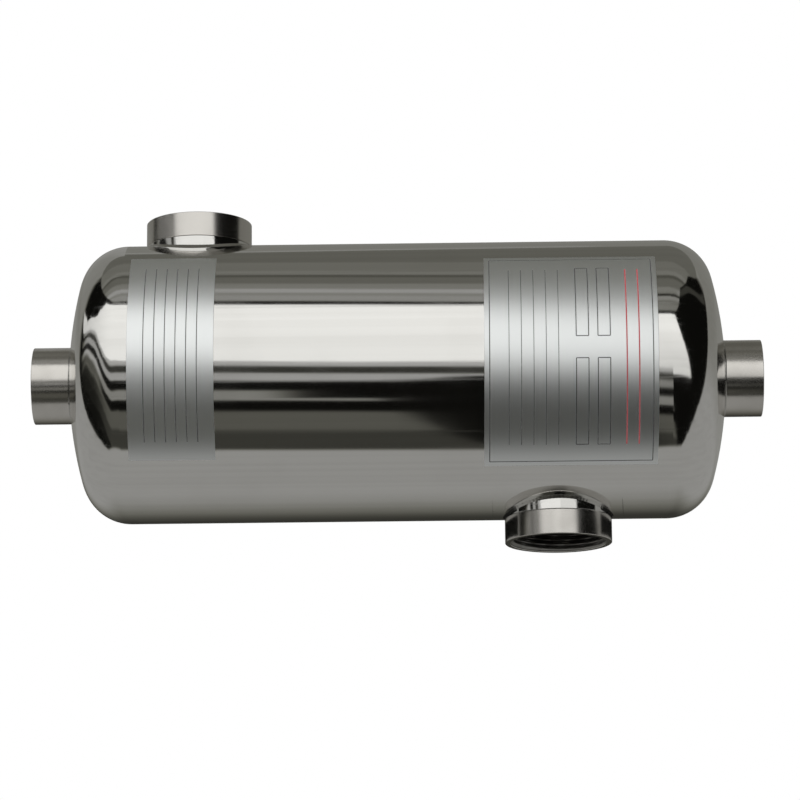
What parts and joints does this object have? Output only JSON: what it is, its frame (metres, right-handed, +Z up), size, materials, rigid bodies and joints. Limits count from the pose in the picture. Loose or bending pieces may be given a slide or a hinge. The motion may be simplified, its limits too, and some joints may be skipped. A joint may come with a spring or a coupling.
{
  "type": "shell and tube heat exchanger",
  "caption": "Polished stainless shell and tube heat exchanger with dished heads, threaded end sockets for the tube side and larger threaded side sockets for the shell side.",
  "frame": {"origin": "middle of the lower side socket's mouth", "axes": "+X along the shell towards the end near the lower socket, +Z up through the side sockets, +Y to the back"},
  "size_m": [0.365, 0.1396, 0.166],
  "materials": {
    "polished_steel": "mirror-polished stainless steel",
    "turned_steel": "fine turned stainless steel",
    "weld_steel": "weld, polished smooth",
    "plate_steel": "rolled plate",
    "tube_steel": "drawn tube",
    "label_film": "satin silver film"
  },
  "bodies": {
    "root": {"shell": "polished_steel", "left_head": "polished_steel", "right_head": "polished_steel", "left_end_socket": "turned_steel", "right_end_socket": "turned_steel", "upper_side_socket": "turned_steel", "lower_side_socket": "turned_steel", "upper_root_weld": "weld_steel", "lower_root_weld": "weld_steel", "left_end_weld": "weld_steel", "right_end_weld": "weld_steel", "left_tube_sheet": "plate_steel", "right_tube_sheet": "plate_steel", "tube_row_1": "tube_steel", "tube_row_2": "tube_steel", "tube_row_3": "tube_steel", "tube_row_4": "tube_steel", "tube_row_5": "tube_steel", "tube_row_6": "tube_steel", "tube_row_7": "tube_steel", "baffle_1": "plate_steel", "baffle_2": "plate_steel", "baffle_3": "plate_steel", "baffle_4": "plate_steel"}
  },
  "joints": []
}
